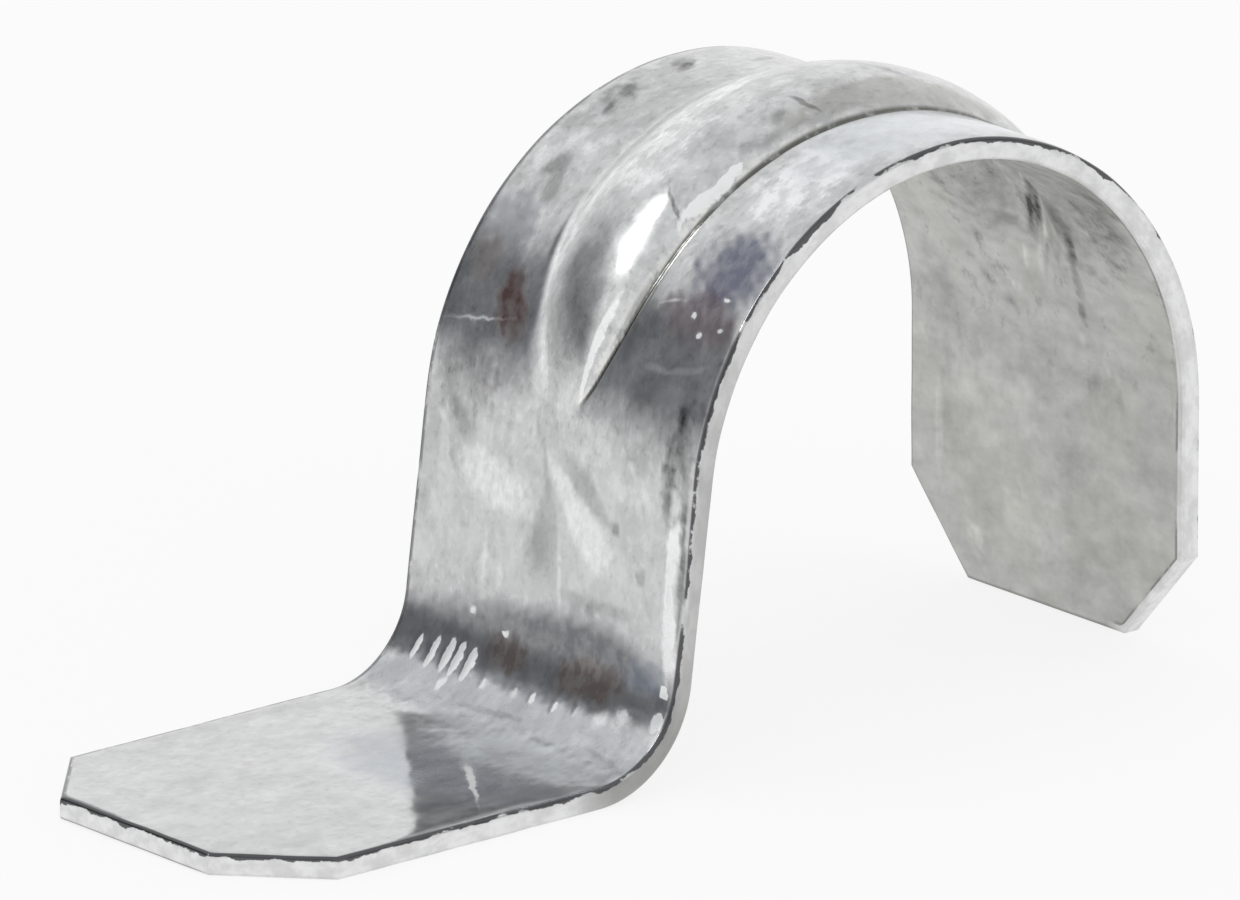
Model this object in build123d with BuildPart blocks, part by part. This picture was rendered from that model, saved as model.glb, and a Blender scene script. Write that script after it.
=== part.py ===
from build123d import *
import os
from math import cos, radians, sin

# Driving sizes of the strap, in millimetres and degrees.
# The pipe's axis is the Y axis, the wall lies below it, and the foot points to -X.
pipe_diameter = 25.0
sheet_thickness = 1.0
strap_width = 16.8
axis_height = 10.65
upright_lean = 7.6
fold_radius = 3.85
foot_length = 17.1
foot_crop_across = 3.8
foot_crop_along = 3.6
leg_crop_across = 3.6
leg_crop_along = 4.0
bead_height = 1.1
bead_width = 7.2
bead_level_angle = 35.0
bead_end_angle = 78.0
bead_root_radius = 1.0
edge_break = 0.15

# Sizes that follow from the driving sizes.
pipe_radius = pipe_diameter / 2
arch_radius = pipe_radius + sheet_thickness
middle_radius = pipe_radius + sheet_thickness / 2
foot_top = sheet_thickness - axis_height
fold_drop = fold_radius * (1 - sin(radians(upright_lean)))
upright_drop = arch_radius * sin(radians(upright_lean)) - foot_top - fold_drop
upright_length = upright_drop / cos(radians(upright_lean))
crest_radius = arch_radius + bead_height
bead_section_radius = (bead_width**2 / 4 + bead_height**2) / (2 * bead_height)
bead_section_centre = crest_radius - bead_section_radius
bead_section_depth = bead_height + 2 * sheet_thickness

# The bead's crest follows the arch to the level angle and then dives into it on a tighter arc.
# The tighter arc keeps the tangent, so its centre is on the same spoke, and it meets the arch at the end angle.
dive_angle = bead_end_angle - bead_level_angle
dive_gap = crest_radius - arch_radius * cos(radians(dive_angle))
dive_offset = (crest_radius**2 - arch_radius**2) / (2 * dive_gap)
dive_x = dive_offset * sin(radians(bead_level_angle))
dive_z = dive_offset * cos(radians(bead_level_angle))
dive_axis = Axis((dive_x, 0, dive_z), (0, 1, 0))
dive_sweep = dive_angle + bead_level_angle / 2

# Outside of the bead: a rounded section turned about the pipe's axis, then about the dive's axis, and mirrored.
# Its underside stops half way through the sheet.
with BuildPart() as bead:
    with BuildSketch(Plane.YZ):
        with Locations((0, bead_section_centre)):
            Circle(bead_section_radius)
        with Locations((0, crest_radius)):
            Rectangle(strap_width, 2 * bead_section_depth, mode=Mode.INTERSECT)
    revolve(axis=Axis.Y, revolution_arc=bead_level_angle)
    bead_cut = bead.faces().filter_by(GeomType.PLANE).sort_by(Axis.X)[-1]
    revolve(bead_cut, axis=dive_axis, revolution_arc=dive_sweep)
    mirror(about=Plane.YZ)
    Cylinder(middle_radius, strap_width, rotation=(90, 0, 0), mode=Mode.SUBTRACT)

# Hollow under the bead: the same form, one sheet thickness smaller all round.
with BuildPart() as groove:
    with BuildSketch(Plane.YZ):
        with Locations((0, bead_section_centre)):
            Circle(bead_section_radius - sheet_thickness)
        with Locations((0, crest_radius)):
            Rectangle(strap_width, 2 * bead_section_depth, mode=Mode.INTERSECT)
    revolve(axis=Axis.Y, revolution_arc=bead_level_angle)
    groove_cut = groove.faces().filter_by(GeomType.PLANE).sort_by(Axis.X)[-1]
    revolve(groove_cut, axis=dive_axis, revolution_arc=dive_sweep)
    mirror(about=Plane.YZ)

# The whole pressing, from the flat blank to the bead.
with BuildPart() as pressing:
    # Side view of the sheet: the outside face is drawn and offset inwards by the thickness.
    with BuildSketch(Plane.XZ):
        with BuildLine():
            leg = Line((arch_radius, -axis_height), (arch_radius, 0))
            arch = CenterArc((0, 0), arch_radius, 0, 180 - upright_lean)
            upright = PolarLine(arch @ 1, upright_length, direction=arch % 1)
            fold = JernArc(upright @ 1, upright % 1, fold_radius, upright_lean - 90)
            foot = PolarLine(fold @ 1, foot_length, direction=fold % 1)
            offset(amount=sheet_thickness, side=Side.LEFT)
        make_face()
    extrude(amount=strap_width / 2, both=True)

    # Cropped corners of the foot and of the free leg.
    foot_end = pressing.faces().sort_by(Axis.X)[0]
    foot_corners = foot_end.edges().filter_by(Axis.Z)
    chamfer(foot_corners, length=foot_crop_across, length2=foot_crop_along, reference=foot_end)
    leg_end = pressing.faces().filter_by(Axis.Z).sort_by(Axis.X)[-1]
    leg_corners = leg_end.edges().filter_by(Axis.X)
    chamfer(leg_corners, length=leg_crop_across, length2=leg_crop_along, reference=leg_end)

    # Softened cut edges all round both faces.
    bend_lines = pressing.edges().filter_by(Axis.Y).group_by(SortBy.LENGTH)[-1]
    corner_lines = pressing.edges().group_by(SortBy.LENGTH)[0]
    chamfer(pressing.edges() - bend_lines - corner_lines, length=edge_break)

    # Pressed bead with its hollow, and a soft root where the bead rises from the arch.
    add(bead.part)
    root = pressing.edges(Select.NEW)
    fillet(root, radius=bead_root_radius)
    add(groove.part, mode=Mode.SUBTRACT)

# The two sides match: one half is kept and mirrored.
# The middle line stays, so the seat for the pipe is one face on each side of the hollow.
with BuildPart() as half:
    add(pressing.part)
    split(bisect_by=Plane.XZ)

with BuildPart() as strap:
    add(half.part)
    add(mirror(half.part, about=Plane.XZ, mode=Mode.PRIVATE), clean=False)

os.makedirs("parts", exist_ok=True)
strap.part.label = "strap"
export_step(strap.part, "parts/strap.step")
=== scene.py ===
import math
import bpy
import numpy as np
from mathutils import Matrix, Vector


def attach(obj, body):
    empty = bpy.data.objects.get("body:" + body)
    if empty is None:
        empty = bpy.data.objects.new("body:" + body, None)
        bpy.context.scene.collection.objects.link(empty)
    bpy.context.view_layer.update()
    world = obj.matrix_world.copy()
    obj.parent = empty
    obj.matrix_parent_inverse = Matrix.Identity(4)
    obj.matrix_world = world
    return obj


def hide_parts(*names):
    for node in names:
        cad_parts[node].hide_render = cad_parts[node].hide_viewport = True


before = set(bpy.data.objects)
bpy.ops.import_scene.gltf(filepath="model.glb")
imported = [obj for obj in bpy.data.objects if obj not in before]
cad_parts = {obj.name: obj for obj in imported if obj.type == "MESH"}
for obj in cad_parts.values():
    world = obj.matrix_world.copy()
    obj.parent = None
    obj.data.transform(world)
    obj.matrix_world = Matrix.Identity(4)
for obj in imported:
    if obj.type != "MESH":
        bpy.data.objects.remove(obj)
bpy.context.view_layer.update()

# Sizes in millimetres and degrees, the same as the solid's.
MILLIMETRE = 0.001
pipe_radius = 12.5
sheet = 1.0
half_width = 8.4
axis_height = 10.65
lean = math.radians(7.6)
fold_radius = 3.85
foot_length = 17.1
foot_crop_across = 3.8
foot_crop_along = 3.6
leg_crop_across = 3.6
leg_crop_along = 4.0
bead_height = 1.1
bead_half_width = 3.6
bead_level = math.radians(35.0)
bead_end = math.radians(78.0)
edge_round = 0.15

arch_radius = pipe_radius + sheet
foot_top = sheet - axis_height
fold_turn = math.pi / 2 - lean
upright_top = arch_radius * math.sin(lean)
fold_drop = fold_radius * (1 - math.sin(lean))
upright_length = (upright_top - foot_top - fold_drop) / math.cos(lean)
fold_end_x = -arch_radius * math.cos(lean) - upright_length * math.sin(lean)
fold_centre_x = fold_end_x - fold_radius * math.cos(lean)
foot_end_x = fold_centre_x - foot_length
crest_radius = arch_radius + bead_height
bead_section = (bead_half_width ** 2 + bead_height ** 2) / (2 * bead_height)
dive_angle = bead_end - bead_level
dive_gap = crest_radius - arch_radius * math.cos(dive_angle)
dive_offset = (crest_radius ** 2 - arch_radius ** 2) / (2 * dive_gap)

# Distances along the outside face, from the foot's end to the free leg's end.
fold_start = foot_length
upright_start = fold_start + fold_radius * fold_turn
arch_start = upright_start + upright_length
leg_start = arch_start + arch_radius * (math.pi / 2 + fold_turn)
strap_end = leg_start + axis_height


def outside_face(s):
    """Point and outward normal of the outside face at each distance along it."""
    x = np.zeros_like(s)
    z = np.zeros_like(s)
    nx = np.zeros_like(s)
    nz = np.zeros_like(s)
    part = s <= fold_start
    x[part] = foot_end_x + s[part]
    z[part] = foot_top
    nz[part] = 1
    part = (s > fold_start) & (s <= upright_start)
    turn = (s[part] - fold_start) / fold_radius
    x[part] = fold_centre_x + fold_radius * np.sin(turn)
    z[part] = foot_top + fold_radius - fold_radius * np.cos(turn)
    nx[part] = -np.sin(turn)
    nz[part] = np.cos(turn)
    part = (s > upright_start) & (s <= arch_start)
    left = arch_start - s[part]
    x[part] = -arch_radius * math.cos(lean) - left * math.sin(lean)
    z[part] = upright_top - left * math.cos(lean)
    nx[part] = -math.cos(lean)
    nz[part] = math.sin(lean)
    part = (s > arch_start) & (s <= leg_start)
    turn = (s[part] - arch_start) / arch_radius - fold_turn
    x[part] = arch_radius * np.sin(turn)
    z[part] = arch_radius * np.cos(turn)
    nx[part] = np.sin(turn)
    nz[part] = np.cos(turn)
    part = s > leg_start
    x[part] = arch_radius
    z[part] = leg_start - s[part]
    nx[part] = 1
    return x, z, nx, nz


def outline(s):
    """Half the strap's width at each distance, with the cropped corners."""
    foot = half_width - foot_crop_across * np.clip(1 - s / foot_crop_along, 0, 1)
    leg = half_width - leg_crop_across * np.clip(1 - (strap_end - s) / leg_crop_along, 0, 1)
    return np.minimum(foot, leg)


def smooth_max(a, b, width):
    """The larger of two heights, rounded where they cross."""
    share = np.clip(0.5 + 0.5 * (b - a) / width, 0, 1)
    return b * share + a * (1 - share) + width * share * (1 - share)


def bead_crest(s, shrink):
    """Height of the bead's crest above the face it is pressed from."""
    turn = np.abs((s - arch_start) / arch_radius - fold_turn)
    past = np.clip(turn - bead_level, 0, None)
    reach = crest_radius - dive_offset - shrink
    crest = dive_offset * np.cos(past) + np.sqrt(reach ** 2 - (dive_offset * np.sin(past)) ** 2)
    return crest - (arch_radius - shrink)


def bead_half(s):
    """Half the bead's width where it meets the arch, 0 past its ends."""
    crest = np.clip(bead_crest(s, 0.0), 0, None)
    return np.sqrt(np.clip(bead_section ** 2 - (bead_section - crest) ** 2, 0, None))


# The bead's front half is drawn in: places along the strap, and the share of its width that is left there.
front_draw_places = (40.0, 50.0)
front_draw_shares = (0.79, 0.93)


def bead_across(s, v):
    """Place across the bead, measured as if its front half were as wide as its back half."""
    front_share = np.interp(s, front_draw_places, front_draw_shares)
    return np.where(v < 0, v / front_share, v)


def bead_rise(s, v, shrink, width):
    """Height of the bead above the face it is pressed from."""
    section = bead_section - shrink
    inside = np.clip(section ** 2 - bead_across(s, v) ** 2, 0, None)
    rise = bead_crest(s, shrink) - section + np.sqrt(inside)
    on_arch = (s > arch_start) & (s < leg_start)
    return np.where(on_arch, smooth_max(0.0, rise, width), 0.0)


def waves(s, v, count, longest, shortest, seed):
    """Smooth irregular height, mostly between -2 and 2."""
    chance = np.random.default_rng(seed)
    total = np.zeros_like(s + v)
    for number in range(count):
        length = longest * (shortest / longest) ** (number / max(count - 1, 1))
        heading = chance.uniform(0, 2 * math.pi)
        phase = chance.uniform(0, 2 * math.pi)
        turns = 2 * math.pi / length
        total += np.sin(turns * (s * math.cos(heading) + v * math.sin(heading)) + phase)
    return total / math.sqrt(count)


def ridge(s, v, at_s, at_v, reach, width, slant=0.0):
    """A short narrow ridge that runs along the strap, 1 high at its middle."""
    along = np.clip(1 - ((s - at_s) / reach) ** 2, 0, 1)
    off = v - at_v - slant * (s - at_s)
    return along * np.exp(-(off / width) ** 2)


def dent(s, v, at_s, at_v, long_s, long_v):
    """A soft round swelling, 1 high at its middle."""
    return np.exp(-((s - at_s) / long_s) ** 2 - ((v - at_v) / long_v) ** 2)


# Wrinkles pressed into the hollow of the fold: place along, place across, reach, width, height.
fold_wrinkles = (
    (20.65, 6.63, 0.6, 0.22, 0.045),
    (20.66, 5.64, 0.7, 0.24, 0.060),
    (20.73, 4.77, 0.8, 0.26, 0.070),
    (20.75, 4.14, 0.9, 0.26, 0.070),
    (20.67, 3.38, 0.8, 0.26, 0.070),
    (19.5, 4.20, 0.5, 0.25, 0.030),
    (20.14, 2.12, 0.4, 0.22, 0.035),
    (20.25, 0.28, 0.4, 0.24, 0.030),
    (20.27, -0.80, 0.4, 0.20, 0.040),
    (20.23, -2.20, 0.4, 0.20, 0.040),
    (20.50, -3.40, 0.4, 0.20, 0.030),
    (20.80, -6.00, 0.5, 0.40, 0.015),
    (19.4, 0.8, 0.7, 0.35, 0.020),
    (19.5, -3.4, 0.8, 0.35, 0.020),
)

# Hollows and swellings left by the press on the upright, under the bead's tip, and on the arch:
# place along and across, half lengths, height.
press_marks = (
    (28.6, -0.5, 1.7, 0.5, -0.05),
    (27.9, 3.4, 1.9, 1.4, 0.05),
    (28.1, -2.2, 1.2, 0.8, 0.05),
    (27.0, -4.2, 1.0, 0.9, 0.04),
    (26.2, 0.6, 1.3, 0.9, -0.05),
    (29.9, -5.0, 1.2, 1.0, 0.04),
    (24.6, -2.4, 1.0, 2.0, 0.03),
    (24.8, 4.2, 1.0, 1.5, 0.03),
    (41.0, 5.9, 1.0, 0.9, -0.03),
    (45.8, 6.6, 1.2, 0.8, -0.03),
    (36.0, -6.0, 0.6, 1.4, 0.03),
    (34.6, -6.2, 0.4, 1.2, 0.03),
)

# Creases of the hollow's end inside the free leg: place along, place across, reach, width, height.
groove_creases = (
    (63.3, -1.3, 2.2, 0.35, 0.10),
    (62.0, -0.85, 1.4, 0.20, -0.05),
    (64.6, -1.80, 1.6, 0.22, -0.06),
    (65.5, -2.85, 1.5, 0.22, 0.07),
    (67.4, -2.55, 1.0, 0.18, 0.05),
    (66.9, 0.75, 0.8, 0.18, -0.04),
    (68.6, 3.15, 0.6, 0.20, 0.03),
)

# The sheet is a little wavy, and stays within its thickness.
wave_height = 0.008
wave_peak = 2.6
wave_count = 9
outside_wave_lengths = (8.0, 2.0)
outside_wave_seed = 3
inside_wave_lengths = (9.0, 2.5)
inside_wave_seed = 5

# A low ridge on the foot: place along and across, reach, width, slant.
foot_ridge = (14.05, -4.0, 1.2, 0.40, 1.6)
foot_ridge_height = 0.03

# The sharp crease along the bead's front root, full depth where the bead is wide enough.
crease_depth = 0.07
crease_width = 0.13
crease_full_half = 2.0

# The edges roll off, and more so along the upright's front edge.
roll_width = 0.6
roll_drop = 0.05
upright_roll_place = 26.0
upright_roll_reach = 5.5
upright_roll_width = 1.1
upright_roll_drop = 0.20

# The creases inside the free leg drift across the strap as they run along it.
groove_slant = 0.34


def rolled(gap, width):
    """How far an edge has rolled off: 1 at the edge, 0 from a width inwards."""
    return np.clip(1 - gap / width, 0, 1) ** 2


def outside_detail(s, v):
    """Small dents and wrinkles of the outside face."""
    sheet_waves = waves(s, v, wave_count, *outside_wave_lengths, outside_wave_seed)
    height = wave_height * (sheet_waves - wave_peak)
    for at_s, at_v, reach, width, rise in fold_wrinkles:
        height += rise * ridge(s, v, at_s, at_v, reach, width)
    for at_s, at_v, long_s, long_v, rise in press_marks:
        height += rise * dent(s, v, at_s, at_v, long_s, long_v)
    height += foot_ridge_height * ridge(s, v, *foot_ridge)
    half = bead_half(s)
    crease_share = np.exp(-((bead_across(s, v) + half) / crease_width) ** 2)
    height -= crease_depth * crease_share * np.clip(half / crease_full_half, 0, 1)
    gap = outline(s) - np.abs(v)
    height -= roll_drop * rolled(gap, roll_width)
    upright_share = np.clip(1 - np.abs(s - upright_roll_place) / upright_roll_reach, 0, 1) * (v < 0)
    height -= upright_roll_drop * upright_share * rolled(gap, upright_roll_width)
    return height


def inside_detail(s, v):
    """Small dents of the inside face, with the creases where the bead's hollow ends."""
    sheet_waves = waves(s, v, wave_count, *inside_wave_lengths, inside_wave_seed)
    height = wave_height * (sheet_waves + wave_peak)
    for at_s, at_v, reach, width, rise in groove_creases:
        height += rise * ridge(s, v, at_s, at_v, reach, width, groove_slant)
    return height


# Stations along the strap: the last place of each stretch, and the step within it.
stretches = (
    (foot_crop_along, 0.36),
    (fold_start - 1.0, 0.5),
    (upright_start + 1.5, 0.12),
    (arch_start, 0.24),
    (arch_start + 25.0, 0.22),
    (leg_start, 0.3),
    (strap_end - leg_crop_along, 0.45),
    (strap_end - edge_round, 0.36),
)
round_rows = 4
round_turn = np.linspace(0, math.pi / 2, round_rows)
end_steps = edge_round * (1 - np.cos(round_turn))
end_drop = edge_round * (1 - np.sin(round_turn))
stations = [end_steps[:-1]]
stretch_start = edge_round
for stretch_end, step in stretches:
    count = max(2, int(round((stretch_end - stretch_start) / step)))
    stations.append(np.linspace(stretch_start, stretch_end, count, endpoint=False))
    stretch_start = stretch_end
stations.append(strap_end - end_steps[::-1])
stations = np.concatenate(stations)
end_inset = np.zeros_like(stations)
end_inset[:round_rows] = end_drop
end_inset[-round_rows:] = end_drop[::-1]

# Half a ring round the section: rim, outside face, rim.
# The other half is the same with the inside face.
# The columns are closest together from the middle to a little past the bead's front root.
dense_share = 0.5
front_columns = 28
dense_columns = 47
back_columns = 55
across = np.concatenate([
    np.linspace(-1.0, -dense_share, front_columns, endpoint=False),
    np.linspace(-dense_share, 0.0, dense_columns, endpoint=False),
    np.linspace(0.0, 1.0, back_columns),
])
face_columns = len(across)

# Two more columns on the cut edge, by their share of the thickness.
edge_levels = np.array((0.46, 0.30))
rim_in = np.concatenate([np.zeros_like(edge_levels), end_steps])
rim_depth = np.concatenate([edge_levels * sheet, end_drop])
rim_count = len(rim_in)
half_count = face_columns + 2 * (rim_count - 1)
row_half = outline(stations)
row_x, row_z, row_nx, row_nz = outside_face(stations)
grid_s = np.repeat(stations[:, None], half_count, axis=1)
inner_half = (row_half - edge_round)[:, None]
grid_v = np.concatenate([
    -row_half[:, None] + rim_in[None, :-1],
    inner_half * across[None, :],
    row_half[:, None] - rim_in[None, -2::-1],
], axis=1)
depth = np.concatenate([rim_depth[:-1], np.zeros(face_columns), rim_depth[-2::-1]])
depth = np.clip(depth[None, :], end_inset[:, None], sheet - end_inset[:, None])

# How wide the bead's roots are rounded: outside at the front and the back, and inside.
front_root = 0.05
back_root = 0.28
inside_root = 0.12
root_width = np.where(grid_v < 0, front_root, back_root)
rise_out = bead_rise(grid_s, grid_v, 0.0, root_width) + outside_detail(grid_s, grid_v)
rise_in = bead_rise(grid_s, grid_v, sheet, inside_root) + inside_detail(grid_s, grid_v)
half_sheet = sheet / 2
fade = np.clip(1 - depth / half_sheet, 0, 1)
out_height = rise_out * fade - depth
in_height = rise_in * fade - (sheet - depth)


def place(height):
    """World points of a face at a height above the outside face."""
    x = row_x[:, None] + row_nx[:, None] * height
    z = row_z[:, None] + row_nz[:, None] * height
    return np.stack([x, grid_v, z], axis=-1)


out_points = place(out_height)
in_points = place(in_height)
ring = np.concatenate([out_points, in_points[:, ::-1]], axis=1)
ring_count = ring.shape[1]
row_count = ring.shape[0]
vertices = ring.reshape(-1, 3) * MILLIMETRE
sheet_s = np.concatenate([grid_s, grid_s], axis=1)
sheet_v = np.concatenate([grid_v, grid_v[:, ::-1]], axis=1)
sheet_depth = np.concatenate([depth, sheet - depth[:, ::-1]], axis=1)
sheet_place = np.stack([sheet_s, sheet_v, sheet_depth], axis=-1).reshape(-1, 3)

# Tone of the outside face: place along and across, half lengths, turn in degrees, raggedness,
# and how much lighter or darker. Most strokes are blotches and scratches; a few are painted shade, marked
# below.
tone_strokes = (
    (29.2, 6.0, 1.2, 0.5, 10, 0.6, -0.14),
    (30.0, -4.6, 1.0, 1.2, 0, 0.5, 0.07),
    (24.7, -3.0, 0.35, 2.4, 0, 0.9, -0.13),
    (28.3, 7.7, 2.4, 0.7, 0, 0.6, -0.10),
    (31.6, 6.0, 1.6, 1.9, 0, 0.8, -0.18),
    # Painted shade: the right land's dark reflection carried down onto the upright's top.
    (33.0, -5.6, 2.4, 2.6, 15, 0.7, -0.10),
    (31.2, -7.2, 2.6, 0.9, 0, 0.6, -0.22),
    (31.6, 0.8, 1.6, 0.7, 0, 0.5, -0.08),
    (41.2, 5.9, 1.4, 1.1, 30, 0.9, -0.08),
    (43.4, 7.2, 1.2, 0.6, 0, 0.9, -0.12),
    (45.9, 6.9, 1.2, 0.8, 20, 0.9, -0.18),
    (49.3, 7.0, 0.8, 0.45, 30, 0.9, -0.22),
    (52.6, 5.8, 0.8, 0.25, 20, 0.7, -0.22),
    (47.0, -0.6, 2.4, 1.2, -8, 0.7, 0.05),
    (43.0, 0.6, 2.4, 1.4, 0, 0.5, 0.14),
    (52.5, 1.8, 1.4, 0.5, -30, 0.8, -0.15),
    (43.9, -4.4, 0.5, 0.25, -30, 0.6, -0.20),
    (46.5, 2.2, 3.0, 1.2, 0, 0.5, 0.14),
    (44.6, -5.6, 2.6, 1.8, 0, 0.5, 0.20),
    (55.0, -5.8, 2.6, 1.0, 0, 0.4, 0.12),
    (19.0, 1.0, 0.16, 2.6, 4, 0.9, -0.20),
    (18.4, -4.6, 0.16, 2.2, -4, 0.9, -0.18),
    (18.2, 5.4, 0.2, 1.6, 4, 0.9, -0.12),
    (17.6, -1.5, 0.5, 5.0, 0, 0.8, 0.08),
    # Painted shade on the bead's front flank at the crown.
    (52.5, -2.5, 5.5, 0.9, 0, 0.6, -0.12),
    (47.0, 5.6, 3.4, 2.2, 0, 0.7, -0.07),
    (42.3, 6.6, 1.2, 1.6, 0, 0.7, 0.08),
    (53.0, -5.6, 5.0, 1.5, 0, 0.4, 0.10),
    (3.0, -2.5, 2.0, 3.0, 0, 0.6, -0.04),
    (11.0, 7.6, 3.5, 0.5, 0, 0.7, -0.06),
)

# Short waves make the outline of a patch ragged.
ragged_share = 0.5
ragged_count = 7
ragged_lengths = (2.2, 0.5)
stroke_edge = 0.9
stroke_soft = 0.7


def stroke(s, v, at_s, at_v, long_s, long_v, turn, ragged, seed, soft=stroke_soft):
    """A soft patch on the sheet, 1 in its middle, with a ragged outline."""
    angle = math.radians(turn)
    along = (s - at_s) * math.cos(angle) + (v - at_v) * math.sin(angle)
    across = (v - at_v) * math.cos(angle) - (s - at_s) * math.sin(angle)
    reach = (along / long_s) ** 2 + (across / long_v) ** 2
    reach = reach + ragged * ragged_share * waves(s, v, ragged_count, *ragged_lengths, seed)
    share = np.clip((stroke_edge + soft / 2 - reach) / soft, 0, 1)
    return share * share * (3 - 2 * share)


def stroke_tone(table, seed):
    """The change of tone that a table of soft patches makes."""
    total = np.zeros_like(grid_s)
    for number, (*patch, change) in enumerate(table):
        total += change * stroke(grid_s, grid_v, *patch, seed + number)
    return total


# Stains of the outside face, with patches of painted reflection and painted shade: place, half lengths,
# turn, raggedness, strength and colour.
stains_and_shade = (
    (35.3, 4.5, 1.6, 0.9, 28, 0.5, 0.88, (0.080, 0.022, 0.020)),
    (38.5, 6.6, 1.5, 1.5, 20, 0.8, 0.60, (0.22, 0.235, 0.26)),
    (36.8, 7.0, 1.2, 0.8, 25, 0.8, 0.50, (0.13, 0.085, 0.065)),
    (39.6, -6.3, 1.9, 1.95, 0, 0.6, 0.90, (0.11, 0.12, 0.18)),
    (37.2, -6.0, 1.2, 2.2, 0, 0.7, 0.76, (0.125, 0.085, 0.105)),
    (35.0, -5.8, 1.6, 2.4, 0, 0.7, 0.45, (0.16, 0.17, 0.19)),
    (19.2, 0.0, 1.5, 9.5, 0, 0.5, 0.40, (0.40, 0.43, 0.48)),
    (21.6, 1.6, 0.8, 1.2, 0, 0.6, 0.80, (0.15, 0.12, 0.11)),
    (21.7, -3.4, 0.9, 2.0, 5, 0.6, 0.80, (0.15, 0.115, 0.105)),
    (22.6, -6.6, 0.8, 1.2, 0, 0.6, 0.45, (0.18, 0.22, 0.28)),
    # Painted reflection: the bluish patch where the foot mirrors the upright.
    (13.8, -2.6, 3.0, 5.5, 0, 0.4, 0.50, (0.36, 0.41, 0.48)),
    (17.0, -3.8, 1.6, 5.6, 0, 0.5, 0.85, (0.80, 0.83, 0.86)),
    (51.0, -5.6, 6.5, 2.2, 0, 0.4, 0.65, (0.72, 0.76, 0.80)),
    # Painted shade on the bead's front flank, above its crease, at the crown.
    (52.5, -2.4, 6.0, 0.9, 0, 0.6, 0.35, (0.42, 0.41, 0.37)),
)
patch_soft = 1.3
stain_and_shade_seed = 300

outside_tone_seed = 100
inside_tone_seed = 200
tone_out = stroke_tone(tone_strokes, outside_tone_seed)
edge_gap = np.minimum(outline(grid_s) - np.abs(grid_v), np.minimum(grid_s, strap_end - grid_s))

# Painted shade: the fold's dark reflection lies in a band that narrows towards the front edge, with a
# fainter painted shade above it.
fold_shade_tint = np.array((0.16, 0.165, 0.175))
band_across = (-8.4, -6.75, -4.8, -2.0, 1.6, 7.85)
band_top = (22.3, 22.9, 23.8, 23.9, 23.4, 22.3)
band_foot = (21.6, 21.3, 20.8, 20.4, 20.4, 20.2)
fold_shade_wander = 0.14
fold_shade_wave_lengths = (3.0, 0.5)
fold_shade_seed = 61
band_strength = 0.76
band_fade = 1.0
band_start = 0.6
upper_shade_strength = 0.18
upper_shade_fade = 3.0
upper_shade_start = 0.7
foot_fade = 0.30
foot_start = 0.8
fold_shade_edge = fold_shade_wander * waves(grid_s, grid_v, wave_count, *fold_shade_wave_lengths, fold_shade_seed)
above_foot = grid_s - np.interp(grid_v, band_across, band_foot) + fold_shade_edge
below_top = np.interp(grid_v, band_across, band_top) - grid_s + fold_shade_edge
fold_shade_share = band_strength * np.clip(below_top / band_fade + band_start, 0, 1)
fold_shade_share += upper_shade_strength * np.clip(below_top / upper_shade_fade + upper_shade_start, 0, 1)
fold_shade_share *= np.clip(above_foot / foot_fade + foot_start, 0, 1)
# The fold's painted shade is laid first, and the stains and painted patches go over it.
stain_and_shade_out = np.zeros(grid_s.shape + (4,))
stain_and_shade_out[..., :3] = fold_shade_tint * fold_shade_share[..., None]
stain_and_shade_out[..., 3] = fold_shade_share
for number, (*patch, strength, tint) in enumerate(stains_and_shade):
    share = strength * stroke(grid_s, grid_v, *patch, stain_and_shade_seed + number, patch_soft)
    keep = 1 - share[..., None]
    stain_and_shade_out[..., :3] = stain_and_shade_out[..., :3] * keep + np.array(tint) * share[..., None]
    stain_and_shade_out[..., 3] = 1 - (1 - stain_and_shade_out[..., 3]) * (1 - share)

# Tone of the inside face, in the same order as the outside's.
inside_strokes = (
    # Painted shade: the dark inside the arch's hollow, and a band along its front edge near the top.
    (62.0, -1.0, 4.5, 6.5, 0, 0.8, -0.11),
    (62.0, -6.3, 4.0, 1.5, 15, 0.5, -0.10),
    (70.0, 6.4, 3.0, 1.2, 0, 0.9, -0.05),
    (72.0, -3.6, 1.2, 1.0, 0, 0.9, -0.06),
    (74.0, 3.0, 2.0, 2.4, 0, 0.9, 0.05),
    (78.5, 0.5, 1.6, 2.0, 0, 0.9, 0.05),
    (80.3, 4.3, 0.7, 0.5, 0, 0.3, 0.12),
    (75.9, 6.6, 2.0, 0.25, 0, 0.4, 0.08),
    (76.0, -2.0, 1.2, 1.8, 0, 0.9, -0.05),
)
tone_in = stroke_tone(inside_strokes, inside_tone_seed)
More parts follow.
